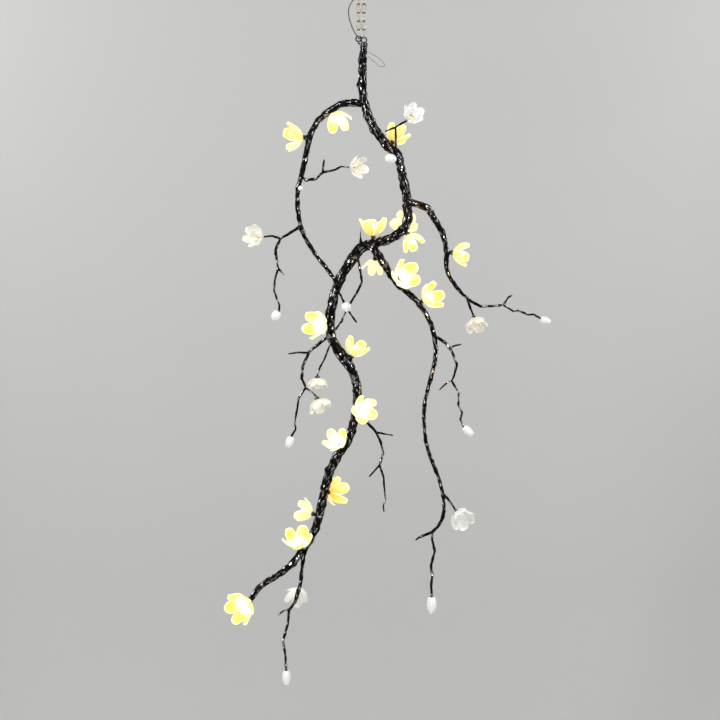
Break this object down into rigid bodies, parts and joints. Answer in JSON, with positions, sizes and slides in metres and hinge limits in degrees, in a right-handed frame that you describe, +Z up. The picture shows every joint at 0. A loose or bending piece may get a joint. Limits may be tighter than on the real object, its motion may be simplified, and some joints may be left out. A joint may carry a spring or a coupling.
{
  "type": "ceramic chandelier",
  "caption": "Winding black bark-covered bough hung on a doubled link chain, with open porcelain blooms, most of them lit from within, and closed porcelain buds on its twig tips.",
  "frame": {"origin": "centre of the ceiling plate's face against the ceiling", "axes": "+Z up into the ceiling, the chandelier hangs along -Z; +X to the viewer's right; -Y towards the viewer of the picture"},
  "size_m": [0.8594, 0.2393, 1.862],
  "materials": {
    "bark": "glossy black lacquer over cast bark",
    "light_bark": "glossy black lacquer over cast bark",
    "black_paint": "satin black",
    "zinc_steel": "zinc-plated steel",
    "nickel": "nickel-plated steel wire",
    "driver_case": "moulded, matte",
    "terminal": "moulded, matte",
    "lead_sheath": "dark sheath",
    "clear_sheath": "clear sheath over bare wire",
    "porcelain": "white glaze, glossy",
    "porcelain_lit": "white glaze lit from within, warm yellow",
    "holder": "matte white ceramic",
    "lamp": "frosted glass, lit",
    "brass_nut": "polished brass"
  },
  "bodies": {
    "ceiling_set": {"ceiling_plate": "zinc_steel", "ceiling_canopy": "black_paint", "hanging_tube": "zinc_steel", "tube_nuts": "zinc_steel", "canopy_nut": "black_paint", "driver": "driver_case", "terminal_block": "terminal"},
    "loop": {"turning_loop": "zinc_steel"},
    "chain": {"chain": "nickel", "supply_lead": "lead_sheath"},
    "bough": {"stem_cap": "black_paint", "wire_loop": "clear_sheath", "stem": "bark", "trunk_upper": "bark", "trunk_middle": "bark", "trunk_lower": "bark", "left_branch": "light_bark", "right_branch": "bark", "long_branch": "bark", "upper_twig": "bark", "left_upper_twig": "light_bark", "left_side_twig": "light_bark", "right_end_twigs": "bark", "crossing_twigs": "bark", "long_side_twigs": "bark", "long_end_twig": "bark", "left_lower_twigs": "bark", "lower_right_twig": "bark", "bottom_twig": "bark", "calyx_cups": "bark", "buds": "porcelain", "lamp_holders": "holder", "lamps": "lamp", "centre_nuts": "brass_nut", "bloom_1": "porcelain_lit", "bloom_2": "porcelain_lit", "bloom_3": "porcelain_lit", "bloom_4": "porcelain", "bloom_5": "porcelain", "bloom_6": "porcelain", "bloom_7": "porcelain_lit", "bloom_8": "porcelain_lit", "bloom_9": "porcelain_lit", "bloom_10": "porcelain_lit", "bloom_11": "porcelain_lit", "bloom_12": "porcelain_lit", "bloom_13": "porcelain_lit", "bloom_14": "porcelain", "bloom_15": "porcelain_lit", "bloom_16": "porcelain_lit", "bloom_17": "porcelain_lit", "bloom_18": "porcelain", "bloom_19": "porcelain", "bloom_20": "porcelain_lit", "bloom_21": "porcelain_lit", "bloom_22": "porcelain_lit", "bloom_23": "porcelain_lit", "bloom_24": "porcelain_lit", "bloom_25": "porcelain", "bloom_26": "porcelain"}
  },
  "joints": [
    {"name": "loop_turn", "type": "hinge", "parent": "ceiling_set", "child": "loop", "pos_m": [0, 0, -0.0447], "axis": [0, 0, 1], "range_deg": [-90, 90]},
    {"name": "chain_swing", "type": "hinge", "parent": "loop", "child": "chain", "pos_m": [0, 0, -0.0698], "axis": [1, 0, 0], "range_deg": [-20, 20], "deforming": ["supply_lead"]},
    {"name": "branch_sway", "type": "hinge", "parent": "chain", "child": "bough", "pos_m": [0.005, 0, -0.1788], "axis": [0, 1, 0], "range_deg": [-10, 10], "deforming": ["supply_lead"]}
  ]
}
